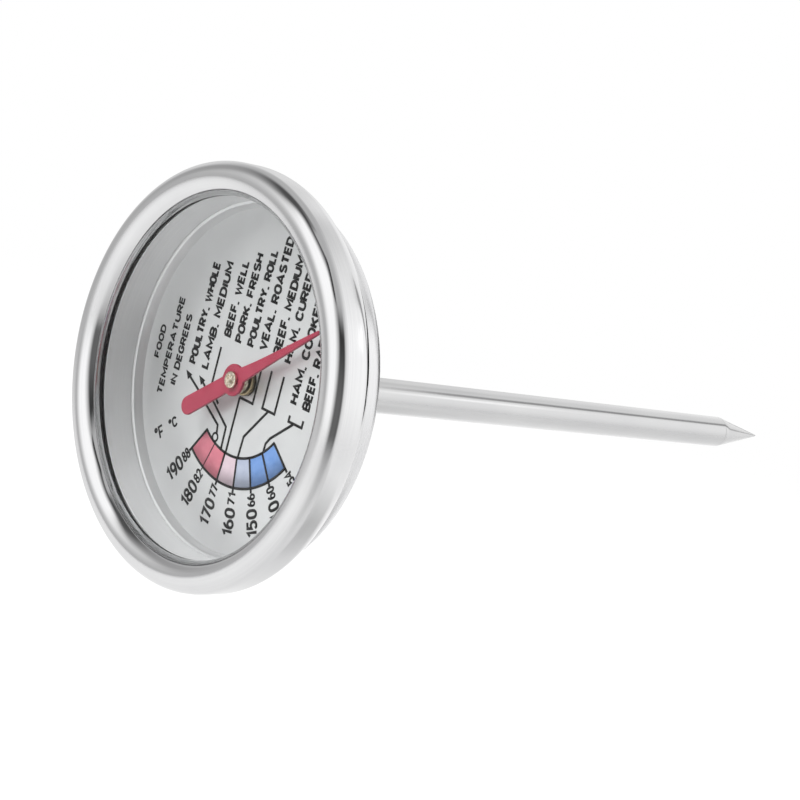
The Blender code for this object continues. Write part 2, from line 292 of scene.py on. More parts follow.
class Nodes:
    """Short hand for building a node material."""

    def __init__(self, name):
        self.material = bpy.data.materials.new(name)
        self.material.use_nodes = True
        self.tree = self.material.node_tree
        self.shader = self.tree.nodes["Principled BSDF"]
        self.out = self.tree.nodes["Material Output"]

    def add(self, kind, **values):
        node = self.tree.nodes.new(kind)
        for key, value in values.items():
            setattr(node, key, value)
        return node

    def link(self, a, b):
        self.tree.links.new(a, b)

    def math(self, operation, a, b=None):
        node = self.add("ShaderNodeMath", operation=operation)
        for socket, value in zip(node.inputs, (a, b)):
            if value is None:
                continue
            if isinstance(value, (int, float)):
                socket.default_value = value
            else:
                self.link(value, socket)
        return node.outputs[0]

    def object_coords(self):
        return self.add("ShaderNodeTexCoord").outputs["Object"]

    def scaled(self, vector, scale):
        node = self.add("ShaderNodeMapping")
        node.inputs["Scale"].default_value = scale
        self.link(vector, node.inputs["Vector"])
        return node.outputs[0]

    def polar(self, radial, depth, turn):
        """Coordinates that run (radius, y, angle), each with its own scale per millimetre or turn."""
        parts = self.add("ShaderNodeSeparateXYZ")
        self.link(self.object_coords(), parts.inputs[0])
        x, y, z = parts.outputs
        squares = self.math("ADD", self.math("MULTIPLY", x, x), self.math("MULTIPLY", z, z))
        radius = self.math("SQRT", squares)
        angle = self.math("ARCTAN2", z, x)
        join = self.add("ShaderNodeCombineXYZ")
        self.link(self.math("MULTIPLY", radius, radial / MM), join.inputs[0])
        self.link(self.math("MULTIPLY", y, depth / MM), join.inputs[1])
        self.link(self.math("MULTIPLY", angle, turn), join.inputs[2])
        return join.outputs[0]

    def noise(self, vector, scale=1.0, detail=4.0, rough=0.5, distortion=0.0):
        node = self.add("ShaderNodeTexNoise")
        node.inputs["Scale"].default_value = scale
        node.inputs["Detail"].default_value = detail
        node.inputs["Roughness"].default_value = rough
        node.inputs["Distortion"].default_value = distortion
        self.link(vector, node.inputs["Vector"])
        return node.outputs["Fac"]

    def ramp(self, value, low, high, start=0.3, end=0.7):
        node = self.add("ShaderNodeMapRange")
        node.inputs["From Min"].default_value = start
        node.inputs["From Max"].default_value = end
        node.inputs["To Min"].default_value = low
        node.inputs["To Max"].default_value = high
        self.link(value, node.inputs["Value"])
        return node.outputs[0]

    def colours(self, value, low, high, start=0.3, end=0.7):
        node = self.add("ShaderNodeValToRGB")
        node.color_ramp.elements[0].position = start
        node.color_ramp.elements[0].color = (*low, 1.0)
        node.color_ramp.elements[1].position = end
        node.color_ramp.elements[1].color = (*high, 1.0)
        self.link(value, node.inputs[0])
        return node.outputs[0]

    def bump(self, height, strength, distance):
        node = self.add("ShaderNodeBump")
        node.inputs["Strength"].default_value = strength
        node.inputs["Distance"].default_value = distance * MM
        self.link(height, node.inputs["Height"])
        self.link(node.outputs[0], self.shader.inputs["Normal"])

    def set(self, **values):
        for key, value in values.items():
            self.shader.inputs[key.replace("_", " ")].default_value = value


def turned_metal(name, dark, light, rough, fine, strength, metallic=1.0):
    """Metal with fine turning lines round the axis and slow stains over them."""
    n = Nodes(name)
    lines = n.noise(n.polar(fine, fine, 0.6), 1.0, 6.0, 0.65)
    stains = n.noise(n.scaled(n.object_coords(), (90.0, 90.0, 90.0)), 1.0, 3.0, 0.5)
    mixed = n.math("ADD", n.math("MULTIPLY", lines, 0.6), n.math("MULTIPLY", stains, 0.4))
    n.link(n.colours(mixed, dark, light), n.shader.inputs["Base Color"])
    n.link(n.ramp(mixed, rough[0], rough[1]), n.shader.inputs["Roughness"])
    n.bump(lines, strength, 0.02)
    n.set(Metallic=metallic)
    return n.material


def stem_metal(name):
    """Ground steel with fine scratches that run mostly along the stem."""
    n = Nodes(name)
    long_lines = n.noise(n.scaled(n.object_coords(), (3500.0, 60.0, 3500.0)), 1.0, 5.0, 0.6)
    cross = n.noise(n.scaled(n.object_coords(), (300.0, 1800.0, 300.0)), 1.0, 4.0, 0.6)
    stains = n.noise(n.scaled(n.object_coords(), (150.0, 60.0, 150.0)), 1.0, 3.0, 0.5)
    both = n.math("ADD", n.math("MULTIPLY", long_lines, 0.6), n.math("MULTIPLY", cross, 0.4))
    tones = n.colours(stains, (0.465, 0.465, 0.47), (0.505, 0.505, 0.505))
    n.link(tones, n.shader.inputs["Base Color"])
    n.link(n.ramp(both, 0.08, 0.16), n.shader.inputs["Roughness"])
    dents = n.noise(n.scaled(n.object_coords(), (160.0, 90.0, 160.0)), 1.0, 1.0, 0.5)
    heights = n.math("ADD", n.math("MULTIPLY", both, 0.02), dents)
    n.bump(heights, 0.5, 0.06)
    n.set(Metallic=1.0)
    return n.material


def dial_metal(name):
    """Matt silver dial with a fine grain."""
    n = Nodes(name)
    grain = n.noise(n.scaled(n.object_coords(), (9000.0, 9000.0, 9000.0)), 1.0, 3.0, 0.6)
    cloud = n.noise(n.scaled(n.object_coords(), (120.0, 120.0, 120.0)), 1.0, 3.0, 0.5)
    mixed = n.math("ADD", n.math("MULTIPLY", grain, 0.5), n.math("MULTIPLY", cloud, 0.5))
    n.link(n.colours(mixed, (0.62, 0.62, 0.625), (0.73, 0.73, 0.73)), n.shader.inputs["Base Color"])
    n.link(n.ramp(grain, 0.32, 0.46), n.shader.inputs["Roughness"])
    n.bump(grain, 0.12, 0.02)
    n.set(Metallic=0.75)
    return n.material


def ink(name, dark, light, rough=0.5, shine=0.5):
    """Screen-printed ink: slightly uneven colour over the grain below."""
    n = Nodes(name)
    cloud = n.noise(n.scaled(n.object_coords(), (700.0, 700.0, 700.0)), 1.0, 4.0, 0.6)
    grain = n.noise(n.scaled(n.object_coords(), (6000.0, 6000.0, 6000.0)), 1.0, 2.0, 0.6)
    n.link(n.colours(cloud, dark, light), n.shader.inputs["Base Color"])
    n.link(n.ramp(grain, rough - 0.08, rough + 0.08), n.shader.inputs["Roughness"])
    n.bump(grain, 0.1, 0.01)
    n.set(Specular_IOR_Level=shine)
    return n.material


def paint(name, dark, light, rough):
    """Sprayed paint with orange peel."""
    n = Nodes(name)
    peel = n.noise(n.scaled(n.object_coords(), (2200.0, 2200.0, 2200.0)), 1.0, 3.0, 0.5)
    cloud = n.noise(n.scaled(n.object_coords(), (350.0, 350.0, 350.0)), 1.0, 3.0, 0.5)
    n.link(n.colours(cloud, dark, light), n.shader.inputs["Base Color"])
    n.link(n.ramp(peel, rough - 0.06, rough + 0.08), n.shader.inputs["Roughness"])
    n.bump(peel, 0.15, 0.02)
    return n.material


def brass_metal(name, dark, light, rough, pits=0.35):
    """Brass with small pits and tarnish."""
    n = Nodes(name)
    spots = n.noise(n.scaled(n.object_coords(), (2600.0, 2600.0, 2600.0)), 1.0, 4.0, 0.6)
    n.link(n.colours(spots, dark, light, 0.35, 0.62), n.shader.inputs["Base Color"])
    n.link(n.ramp(spots, rough + 0.12, rough - 0.05), n.shader.inputs["Roughness"])
    n.bump(spots, pits, 0.06)
    n.set(Metallic=1.0)
    return n.material


def rubber(name):
    """Moulded black rubber."""
    n = Nodes(name)
    grain = n.noise(n.scaled(n.object_coords(), (3000.0, 3000.0, 3000.0)), 1.0, 3.0, 0.6)
    n.link(n.colours(grain, (0.012, 0.012, 0.012), (0.03, 0.03, 0.03)), n.shader.inputs["Base Color"])
    n.link(n.ramp(grain, 0.6, 0.8), n.shader.inputs["Roughness"])
    n.bump(grain, 0.2, 0.02)
    return n.material


def window_glass(name):
    """Thin clear pane: it lets light straight through and mirrors a little at its faces."""
    n = Nodes(name)
    clear = n.add("ShaderNodeBsdfTransparent")
    clear.inputs[0].default_value = (0.985, 0.99, 0.99, 1.0)
    gloss = n.add("ShaderNodeBsdfGlossy")
    smear = n.noise(n.scaled(n.object_coords(), (140.0, 140.0, 140.0)), 1.0, 4.0, 0.5)
    n.link(n.ramp(smear, 0.01, 0.05), gloss.inputs["Roughness"])
    fresnel = n.add("ShaderNodeFresnel")
    fresnel.inputs["IOR"].default_value = 1.3
    outside = n.math("SUBTRACT", 1.0, n.add("ShaderNodeNewGeometry").outputs["Backfacing"])
    mix = n.add("ShaderNodeMixShader")
    n.link(n.math("MULTIPLY", fresnel.outputs[0], outside), mix.inputs[0])
    n.link(clear.outputs[0], mix.inputs[1])
    n.link(gloss.outputs[0], mix.inputs[2])
    n.link(mix.outputs[0], n.out.inputs["Surface"])
    n.tree.nodes.remove(n.shader)
    return n.material


POLISHED = turned_metal(
    "polished_steel_lines", (0.56, 0.56, 0.57), (0.64, 0.64, 0.64), (0.05, 0.12), 9.0, 0.02
)
CASE_STEEL = turned_metal(
    "case_steel_lines", (0.55, 0.55, 0.56), (0.66, 0.66, 0.66), (0.22, 0.34), 7.0, 0.1
)
WALL_METAL = turned_metal(
    "wall_aluminium", (0.69, 0.69, 0.695), (0.79, 0.79, 0.79), (0.35, 0.5), 6.0, 0.08, 0.5
)
STEM_STEEL = stem_metal("stem_steel_ground")
DIAL_METAL = dial_metal("dial_aluminium_grain")
BLACK_INK = ink("ink_black", (0.006, 0.006, 0.006), (0.018, 0.018, 0.018), 0.5, 0.15)
RED_INK = ink("ink_red", (0.41, 0.11, 0.15), (0.49, 0.15, 0.19))
PINK_INK = ink("ink_pink", (0.48, 0.375, 0.42), (0.54, 0.43, 0.475))
PALE_BLUE_INK = ink("ink_pale_blue", (0.29, 0.32, 0.41), (0.34, 0.37, 0.46))
BLUE_INK = ink("ink_blue", (0.09, 0.19, 0.42), (0.14, 0.25, 0.50))
RED_PAINT = paint("pointer_red_paint", (0.25, 0.013, 0.037), (0.32, 0.026, 0.059), 0.38)
PIN_BRASS = brass_metal("pin_brass", (0.36, 0.27, 0.17), (0.8, 0.72, 0.6), 0.22, 0.6)
# This brass is darkened as painted shade, for the eyelet that sits in the pointer's shadow; the hidden
# bushes share it.
SHADED_PART_BRASS = brass_metal("turned_brass_painted_shade", (0.24, 0.19, 0.11), (0.42, 0.34, 0.2), 0.32, 0.1)
COIL_METAL = turned_metal(
    "bimetal_strip", (0.34, 0.30, 0.27), (0.46, 0.41, 0.36), (0.3, 0.45), 8.0, 0.1
)
GASKET = rubber("gasket_rubber")
GLASS = window_glass("lens_glass")

# ---------------------------------------------------------------- head

nose_centre_r = BEZEL_R - NOSE_R
nose_centre_y = FRONT_Y + NOSE_R
roll_centre_r = BEZEL_R - ROLL_R
# The rear roll stops just outside the case's wall, at the bezel's rear face.
roll_stop_r = CASE_R + 0.42
roll_end = degrees(acos((roll_stop_r - roll_centre_r) / ROLL_R))
roll_centre_y = BEZEL_REAR_Y - ROLL_R * sin(radians(roll_end))
lip_roll = nose_centre_r - WINDOW_R
skirt_r = CASE_R + 0.3
bezel_profile = [
    *arc(roll_centre_r, roll_centre_y, ROLL_R, roll_end, 0, 16),
    *arc(nose_centre_r, nose_centre_y, NOSE_R, 0, -86, 20),
    *arc(nose_centre_r, LIP_Y, lip_roll, -90, -180, 24),
    (WINDOW_R, LIP_END - 0.06),
    (WINDOW_R + 0.06, LIP_END),
    (WINDOW_R + SHEET, LIP_END),
    *arc(nose_centre_r, LIP_Y, lip_roll - SHEET, -180, -90, 12),
    *arc(nose_centre_r, nose_centre_y, NOSE_R - SHEET, -80, 0, 8),
    *arc(roll_centre_r, roll_centre_y, ROLL_R - SHEET, 0, 70, 8),
    (skirt_r, BEZEL_REAR_Y - SHEET),
    (skirt_r, BEZEL_REAR_Y - 0.12),
]
lathe("bezel", bezel_profile, "housing", POLISHED, ["bezel_ring"])

corner_r = CASE_R - CASE_CORNER
corner_y = BACK_Y - CASE_CORNER
flange_y = FLANGE_FRONT + SHEET
case_profile = [
    (STEM_R + 0.1, 0.0),
    *arc(BOSS_R - 0.8, -0.8, 0.8, 90, 0, 8),
    (BOSS_R + 0.12, BACK_Y + 0.12),
    (BOSS_R + 0.4, BACK_Y),
    *arc(corner_r, corner_y, CASE_CORNER, 90, 0, 14),
    (CASE_R, flange_y - 0.01),
    (FLANGE_R, flange_y - 0.01),
    (FLANGE_R, FLANGE_FRONT),
    (CASE_R - SHEET, FLANGE_FRONT),
    *arc(corner_r, corner_y, CASE_CORNER - SHEET, 0, 90, 8),
    (BOSS_R - SHEET, BACK_Y - SHEET),
    (BOSS_R - SHEET, -SHEET),
    (STEM_R + 0.1, -SHEET),
]
lathe("case", case_profile, "housing", CASE_STEEL, ["case_cup"])

lens_profile = [
    (0.0, LENS_REAR),
    (LENS_R - 0.25, LENS_REAR),
    (LENS_R, LENS_REAR - 0.25),
    (LENS_R, LENS_FRONT + 0.25),
    (LENS_R - 0.25, LENS_FRONT),
    (0.0, LENS_FRONT),
]
lathe("window_lens", lens_profile, "housing", GLASS, ["lens"])

wall_inner = WALL_R - WALL_THICK
wall_front = LENS_REAR + 0.02
wall_rear = DIAL_RIM_Y - 0.02
wall_profile = [
    (wall_inner + 0.02, wall_rear),
    (WALL_R - 0.1, wall_rear),
    (WALL_R, wall_rear - 0.1),
    (WALL_R, wall_front + 0.1),
    (WALL_R - 0.1, wall_front),
    (wall_inner + 0.06, wall_front),
    (wall_inner, wall_front + 0.06),
    (wall_inner, wall_rear - 0.02),
]
lathe("spacer_wall", wall_profile, "housing", WALL_METAL, ["spacer_ring"])

gasket_r, gasket_front, gasket_rear = span("lens_gasket")
gasket_profile = [
    (GASKET_BORE_R, gasket_rear),
    *arc(gasket_r - 0.15, gasket_rear - 0.15, 0.15, 90, 0, 4),
    *arc(gasket_r - 0.15, gasket_front + 0.15, 0.15, 0, -90, 4),
    (GASKET_BORE_R, gasket_front),
]
lathe("gasket", gasket_profile, "housing", GASKET, ["lens_gasket"])

# A black rubber ring fills the space between the bezel's lip and the lens; its black is painted shade that
# stands in for the shaded gap there.
shade_seal_r = WINDOW_R + 0.9
shade_seal_profile = [
    (WINDOW_R + 0.03, LENS_FRONT - 0.02),
    (shade_seal_r, LENS_FRONT - 0.02),
    (shade_seal_r, LIP_END + 0.02),
    (WINDOW_R + 0.1, LIP_END + 0.02),
    (WINDOW_R + 0.03, LIP_END + 0.09),
]
lathe("front_shade_seal", shade_seal_profile, "housing", GASKET)

# The dial's flat margin ends in a small chamfer, and a steep flank drops to the face.
margin_r = DIAL_R - 0.5
rim_r = margin_r - 0.36
dial_profile = [
    (rim_r - 0.15, DIAL_BACK_Y),
    (margin_r - 0.1, DIAL_BACK_Y - 0.9),
    (DIAL_R, DIAL_RIM_Y + DIAL_THICK),
    (DIAL_R, DIAL_RIM_Y + 0.12),
    (DIAL_R - 0.12, DIAL_RIM_Y),
    (margin_r + 0.02, DIAL_RIM_Y),
    (margin_r - 0.04, DIAL_RIM_Y + 0.01),
    (rim_r + 0.03, DIAL_RIM_Y + 0.15),
    (rim_r, DIAL_RIM_Y + 0.18),
    (rim_r - 0.3, DIAL_Y),
    (DIAL_HOLE_R, DIAL_Y),
    (DIAL_HOLE_R, DIAL_BACK_Y),
]
lathe("dial", dial_profile, "housing", DIAL_METAL, ["dial_plate"])

eyelet_r, eyelet_front, eyelet_rear = span("dial_eyelet")
eyelet_neck_r = 1.55
flange_rear = eyelet_front + 0.45
eyelet_profile = [
    (eyelet_neck_r, eyelet_rear),
    (eyelet_neck_r, flange_rear),
    (eyelet_r, flange_rear),
    *arc(eyelet_r - 0.2, eyelet_front + 0.2, 0.2, 0, -90, 5),
    *arc(0.85, eyelet_front + 0.15, 0.15, -90, -180, 4),
    (0.6, eyelet_front + 0.6),
    (0.6, eyelet_rear),
]
# The eyelet's dark brass is painted shade under the pointer.
lathe("eyelet", eyelet_profile, "housing", SHADED_PART_BRASS, ["dial_eyelet"], 64)

# ---------------------------------------------------------------- dial print

# Degrees for each field of the band, the angle of its first boundary, its radii, and the width
# of a printed line.
STEP = 14.75
BAND_START = -123.4
BAND_IN = 10.0
BAND_OUT = 13.95
LINE = 0.35
SCALE_F = (190, 180, 170, 160, 150, 140, 130)
SCALE_C = (88, 82, 77, 71, 66, 60, 54)


def band_angle(index):
    """Angle of the colour band's boundary number index."""
    return BAND_START + STEP * index


def printed(name, draw, materials):
    """A thin printed layer, drawn by draw(bmesh) and laid on the dial."""
    work = bmesh.new()
    draw(work)
    mesh = bpy.data.meshes.new(name)
    work.to_mesh(mesh)
    work.free()
    return finish_mesh(name, mesh, "housing", materials, 0)


def draw_band(work):
    """Six coloured fields, the first two red and the last two blue."""
    for index, colour in enumerate((0, 0, 1, 2, 3, 3)):
        outline = sector(BAND_IN, BAND_OUT, band_angle(index), band_angle(index + 1))
        prism(work, outline, DIAL_Y - INK, INK + 0.01, colour)


def draw_lines(work):
    """Outline and dividers of the band, and the lines that lead to the legends."""
    front = DIAL_Y - 2 * INK
    deep = 2 * INK + 0.01
    first = band_angle(0) - 0.6
    last = band_angle(6) + 0.6
    for radius in (BAND_IN, BAND_OUT):
        outline = sector(radius - LINE / 2, radius + LINE / 2, first, last, 48)
        prism(work, outline, front, deep)
    for index in range(7):
        a = radians(band_angle(index))
        ends = [(r * cos(a), r * sin(a)) for r in (BAND_IN, BAND_OUT + 0.65)]
        ribbon(work, ends, LINE * 0.4 if index == 1 else LINE, front, deep)
    # From the fields to their legends, as (x, z) points.
    lines = [
        [(-11.7, -2.9), (-9.2, -4.1), (-6.7, -5.5), (-3.6, -7.1), (-3.4, -8.1)],
        [(-8.8, -2.8), (-8.0, -3.3), (-5.5, -4.6), (-1.85, -6.8), (-1.72, -10.0)],
        [(-6.9, 2.7), (-6.9, -2.6), (-4.6, -4.5)],
        [(-0.62, -2.4), (-0.62, -10.1)],
        [(-0.7, -2.35), (2.2, -2.35), (2.2, 2.1)],
        [(4.28, 2.7), (4.28, -2.3), (6.85, -2.3), (6.85, 2.7)],
        [(5.5, -2.4), (2.12, -6.85), (2.0, -9.9)],
        [(9.8, -1.5), (9.8, -2.3), (12.5, -2.3), (12.5, -1.4)],
        [(10.8, -2.4), (7.25, -5.4), (6.65, -6.3), (6.6, -7.4)],
    ]
    for points in lines:
        ribbon(work, points, LINE, front, deep)
    arrowheads = ((-12.2, -2.6), (-9.2, -2.5))
    for x, z in arrowheads:
        prism(work, [(x - 0.7, z + 0.35), (x + 0.75, z + 0.1), (x + 0.1, z - 0.75)], front, deep)
    ribbon(work, oval(-3.5, -8.75, 0.55, 0.55, 24), LINE * 0.8, front, deep)


def draw_words(work):
    """Header, legends, the numbers of both scales and their units."""
    front = DIAL_Y - INK
    deep = INK + 0.01
    # (text, x of the baseline, start z, end z, height)
    words = [
        ("FOOD", -19.5, -2.6, 2.1, 1.25),
        ("TEMPERATURE", -16.9, -7.1, 6.8, 1.3),
        ("IN DEGREES", -14.45, -5.0, 5.0, 1.35),
        ("POULTRY, WHOLE", -11.25, -1.1, 13.1, 1.6),
        ("LAMB, MEDIUM", -8.5, -1.0, 13.8, 1.6),
        ("BEEF, WELL", -5.5, 4.3, 14.8, 1.55),
        ("PORK, FRESH", -2.95, 4.2, 16.3, 1.55),
        ("POULTRY, ROLL", -0.35, 4.4, 17.5, 1.55),
        ("VEAL, ROASTED", 2.2, 4.6, 19.8, 1.6),
        ("BEEF, MEDIUM", 5.1, 4.8, 18.0, 1.6),
        ("HAM, CURED", 7.55, 4.5, 16.5, 1.6),
        ("HAM, COOKED", 10.6, 0.0, 14.0, 1.6),
        ("BEEF, RARE", 13.15, -0.1, 10.4, 1.6),
    ]
    for text, x, start, end, height in words:
        letter(work, text, (x, start), 90, end - start, height, height * 0.245, front, deep)
    for index, (hot, warm) in enumerate(zip(SCALE_F, SCALE_C)):
        a = radians(band_angle(index))
        inward = Vector((-cos(a), -sin(a)))
        up = Vector((-inward.y, inward.x))
        numbers = ((str(hot), 20.3, 3.7, 2.2), (str(warm), 16.35, 1.75, 1.6))
        for text, outer, length, height in numbers:
            start = Vector((outer * cos(a), outer * sin(a))) - up * height / 2
            heading = degrees(atan2(inward.y, inward.x))
            letter(work, text, start, heading, length, height, height * 0.19, front, deep)
    units = (("\u00b0F", (-15.5, -13.4), 2.0, 1.9), ("\u00b0C", (-13.2, -11.0), 1.9, 1.5))
    for text, place, length, height in units:
        letter(work, text, place, 40, length, height, 0.32, front, deep)


printed("dial_band", draw_band, [RED_INK, PINK_INK, PALE_BLUE_INK, BLUE_INK])
printed("dial_lines", draw_lines, BLACK_INK)
printed("dial_words", draw_words, BLACK_INK)

# ---------------------------------------------------------------- pointer

# The needle's reach to its tip and tail, the tail's half width, the radii of its boss and hole,
# and its angle above +X at rest.
TIP = 17.2
TAIL = 11.1
TAIL_HALF = 1.25
POINTER_BOSS_R = 2.1
POINTER_HOLE_R = 0.9
REST = 36.9


def pointer_outline():
    """(along, across) points of the needle, tip first, counter-clockwise."""
    upper = [(TIP, 0.12), (TIP - 0.14, 0.24), (13.0, 0.42), (9.0, 0.55), (5.0, 0.74), (2.3, 0.95)]
    boss = [(POINTER_BOSS_R * cos(radians(a)), POINTER_BOSS_R * sin(radians(a))) for a in range(28, 142, 6)]
    tail_x = TAIL - TAIL_HALF
    side = [(-1.85, TAIL_HALF * 0.92), (-tail_x, TAIL_HALF)]
    turns = [radians(a) for a in range(12, 90, 13)]
    cap = [(-tail_x - TAIL_HALF * sin(t), TAIL_HALF * cos(t)) for t in turns]
    half = upper + boss + side + cap
    return half + [(-TAIL, 0.0)] + [(x, -y) for x, y in reversed(half)]


def needle_mesh():
    """Stamped needle with rounded edges, in front of the dial and at its rest angle."""
    edge = 0.1
    curve = bpy.data.curves.new("needle", "CURVE")
    curve.dimensions = "2D"
    curve.fill_mode = "BOTH"
    thick = POINTER_REAR - POINTER_Y
    curve.extrude = (thick / 2 - edge) * MM
    curve.bevel_depth = edge * MM
    curve.bevel_resolution = 2
    curve.offset = -edge * MM
    turns = [2 * pi * i / 32 for i in range(32)]
    hole = [(POINTER_HOLE_R * cos(t), POINTER_HOLE_R * sin(t)) for t in turns]
    for points in (pointer_outline(), hole):
        spline = curve.splines.new("POLY")
        spline.points.add(len(points) - 1)
        spline.use_cyclic_u = True
        for point, (x, y) in zip(spline.points, points):
            point.co = (x * MM, y * MM, 0.0, 1.0)
    obj = bpy.data.objects.new("needle_blank", curve)
    bpy.context.scene.collection.objects.link(obj)
    graph = bpy.context.evaluated_depsgraph_get()
    mesh = bpy.data.meshes.new_from_object(obj.evaluated_get(graph))
    bpy.data.objects.remove(obj)
    place = Matrix.Translation((0, (POINTER_Y + thick / 2) * MM, 0))
    turn = Matrix.Rotation(radians(-REST), 4, "Y")
    stand = Matrix.Rotation(radians(90), 4, "X")
    mesh.transform(place @ turn @ stand)
    return mesh


needle = finish_mesh("pointer_blade", needle_mesh(), "needle", RED_PAINT, 40)
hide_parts("pointer")

# The rivet's head is a rolled edge round a shallow dish.
hub_r, _, hub_rear = span("pointer_hub")
hub_neck_r = 0.88
hub_flange_y = hub_rear - 0.75
hub_profile = [
    (hub_r, hub_rear),
    (hub_r, hub_rear - 0.7),
    (hub_r - 0.1, hub_flange_y),
    (hub_neck_r, hub_flange_y),
    (hub_neck_r, POINTER_Y - 0.02),
    *arc(0.98, POINTER_Y - 0.16, 0.12, 60, 0, 4),
    *arc(0.98, POINTER_Y - 0.36, 0.12, 0, -90, 4),
    (0.7, POINTER_Y - 0.5),
    (0.55, POINTER_Y - 0.42),
    (0.0, POINTER_Y - 0.4),
    (0.0, hub_rear),
]
lathe("pointer_rivet", hub_profile, "needle", PIN_BRASS, ["pointer_hub"], 48)

# ---------------------------------------------------------------- stem

# The tube and the point meet in a fine seam.
tube_inner = STEM_R - STEM_WALL
point_start = TUBE_END_Y + 0.3
tube_profile = [
    (tube_inner, STEM_TOP_Y),
    (tube_inner, point_start - 0.01),
    (STEM_R - 0.015, point_start - 0.01),
    (STEM_R, point_start - 0.03),
    (STEM_R, STEM_TOP_Y + 0.1),
    (STEM_R - 0.1, STEM_TOP_Y),
]
lathe("stem", tube_profile, "housing", STEM_STEEL, ["stem_tube"], STEM_STEPS)

plug_r = tube_inner - 0.3
plug_end = TUBE_END_Y - 2.5
point_profile = [
    (0.0, TIP_Y),
    (0.09, TIP_Y - 0.04),
    (0.17, TIP_Y - 0.3),
    (STEM_R - 0.3, point_start + 1.85),
    (STEM_R - 0.1, point_start + 0.95),
    (STEM_R - 0.02, point_start + 0.45),
    (STEM_R, point_start + 0.02),
    (STEM_R - 0.015, point_start),
    (plug_r, point_start),
    (plug_r, plug_end),
    (0.0, plug_end),
]
lathe("stem_tip", point_profile, "housing", STEM_STEEL, ["stem_point"], STEM_STEPS)

ferrule_r, ferrule_front, ferrule_rear = span("stem_ferrule")
groove_y = (ferrule_front + ferrule_rear) / 2
ferrule_profile = [
    (STEM_R + 0.1, ferrule_rear),
    (STEM_R + 0.25, ferrule_rear),
    *arc(ferrule_r - 0.3, ferrule_rear - 0.3, 0.3, 90, 0, 5),
    (ferrule_r, groove_y + 0.12),
    (ferrule_r - 0.12, groove_y),
    (ferrule_r, groove_y - 0.12),
    *arc(ferrule_r - 0.3, ferrule_front + 0.3, 0.3, 0, -90, 5),
    (STEM_R + 0.1, ferrule_front),
]
lathe("ferrule", ferrule_profile, "housing", CASE_STEEL, ["stem_ferrule"], STEM_STEPS)

# Hidden inner parts keep their CAD meshes and get the finer finishes.
INNER_FINISHES = {
    "stem_lock_ring": CASE_STEEL,
    "upper_bush": SHADED_PART_BRASS,
    "lower_bush": SHADED_PART_BRASS,
    "coil_anchor": SHADED_PART_BRASS,
    "coil_collet": SHADED_PART_BRASS,
    "bimetal_coil": COIL_METAL,
    "spindle": STEM_STEEL,
}
for node, finish in INNER_FINISHES.items():
    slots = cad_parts[node].data.materials
    slots.clear()
    slots.append(finish)

# ---------------------------------------------------------------- stage, light and camera

scene = bpy.context.scene
scene.view_settings.view_transform = "Standard"


def stage_floor():
    """Round pale table below the object that glows with painted light, brighter in front and behind, faded
    out at its edge.
    """
    drop, radius, steps = -0.11, 0.85, 64
    turns = [2 * pi * i / steps for i in range(steps)]
    edge = [(radius * cos(t), radius * sin(t), drop) for t in turns]
    mesh = bpy.data.meshes.new("stage_floor")
    mesh.from_pydata(edge, [], [list(range(steps))])
    floor = bpy.data.objects.new("stage_floor", mesh)
    scene.collection.objects.link(floor)
    n = Nodes("stage_paper_glow")
    cloud = n.noise(n.scaled(n.object_coords(), (3.0, 3.0, 3.0)), 1.0, 2.0, 0.5)
    n.link(n.colours(cloud, (0.76, 0.76, 0.76), (0.78, 0.78, 0.78)), n.shader.inputs["Base Color"])
    n.set(Roughness=0.9)
    # Painted light: the floor glows by emission, more in front and behind, and so acts as a light of its
    # own.
    n.shader.inputs["Emission Color"].default_value = (1.0, 1.0, 1.0, 1.0)
    place = n.add("ShaderNodeSeparateXYZ")
    n.link(n.object_coords(), place.inputs[0])
    ahead = n.ramp(place.outputs[1], 0.05, 0.22, 0.0, -0.2)
    glow_behind = n.ramp(place.outputs[1], 0.0, 0.42, 0.1, 0.17)
    n.link(n.math("ADD", ahead, glow_behind), n.shader.inputs["Emission Strength"])
    squares = [n.math("MULTIPLY", place.outputs[i], place.outputs[i]) for i in (0, 1)]
    away = n.math("SQRT", n.math("ADD", *squares))
    fade = n.add("ShaderNodeMapRange", interpolation_type="SMOOTHSTEP")
    fade.inputs["From Min"].default_value = radius
    fade.inputs["From Max"].default_value = -0.2
    n.link(away, fade.inputs["Value"])
    n.link(fade.outputs[0], n.shader.inputs["Alpha"])
    mesh.materials.append(n.material)


# Studio cards: (name, azimuth, half width, elevation, half height, softness, brightness).
# Azimuth 0 is in front of the dial and 90 is towards +X; angles are in degrees.
ROOM = 0.95
CARDS = [
    ("ceiling", 0, 180, 66, 36, 26, 0.68),
    ("rear wall", 150, 36, 20, 33, 60, 1.5),
    ("left rear wall", -165, 25, 18, 26, 24, 1.25),
    ("left wall", -74, 15, 6, 34, 22, 0.5),
    ("dark upper front", -52, 39, 63, 21, 34, 0.12),
    ("dark top", 5, 47, 60, 12, 6, 0.05),
    ("front softbox", -3, 34, 24, 35, 26, 1.55),
    ("dark camera side", 73, 23, 13, 32, 18, 0.06),
    ("dark table side", 70, 22, -18, 40, 34, 0.2),
    ("grey left horizon", -82, 62, -16, 23, 36, 0.67),
    ("dark far corner", -167, 14, 2, 8, 5, 0.0),
]
# Strips behind the dial that run along the stem: (name, angle above +X, half width, softness,
# y part of the direction at the far end, brightness). They all start at STRIP_NEAR.
STRIP_NEAR = 0.7
STRIPS = [
    ("dark gap", 71, 8, 10, 1.0, 0.5),
    ("bright slit", 43, 6, 9, 0.75, 2.0),
]


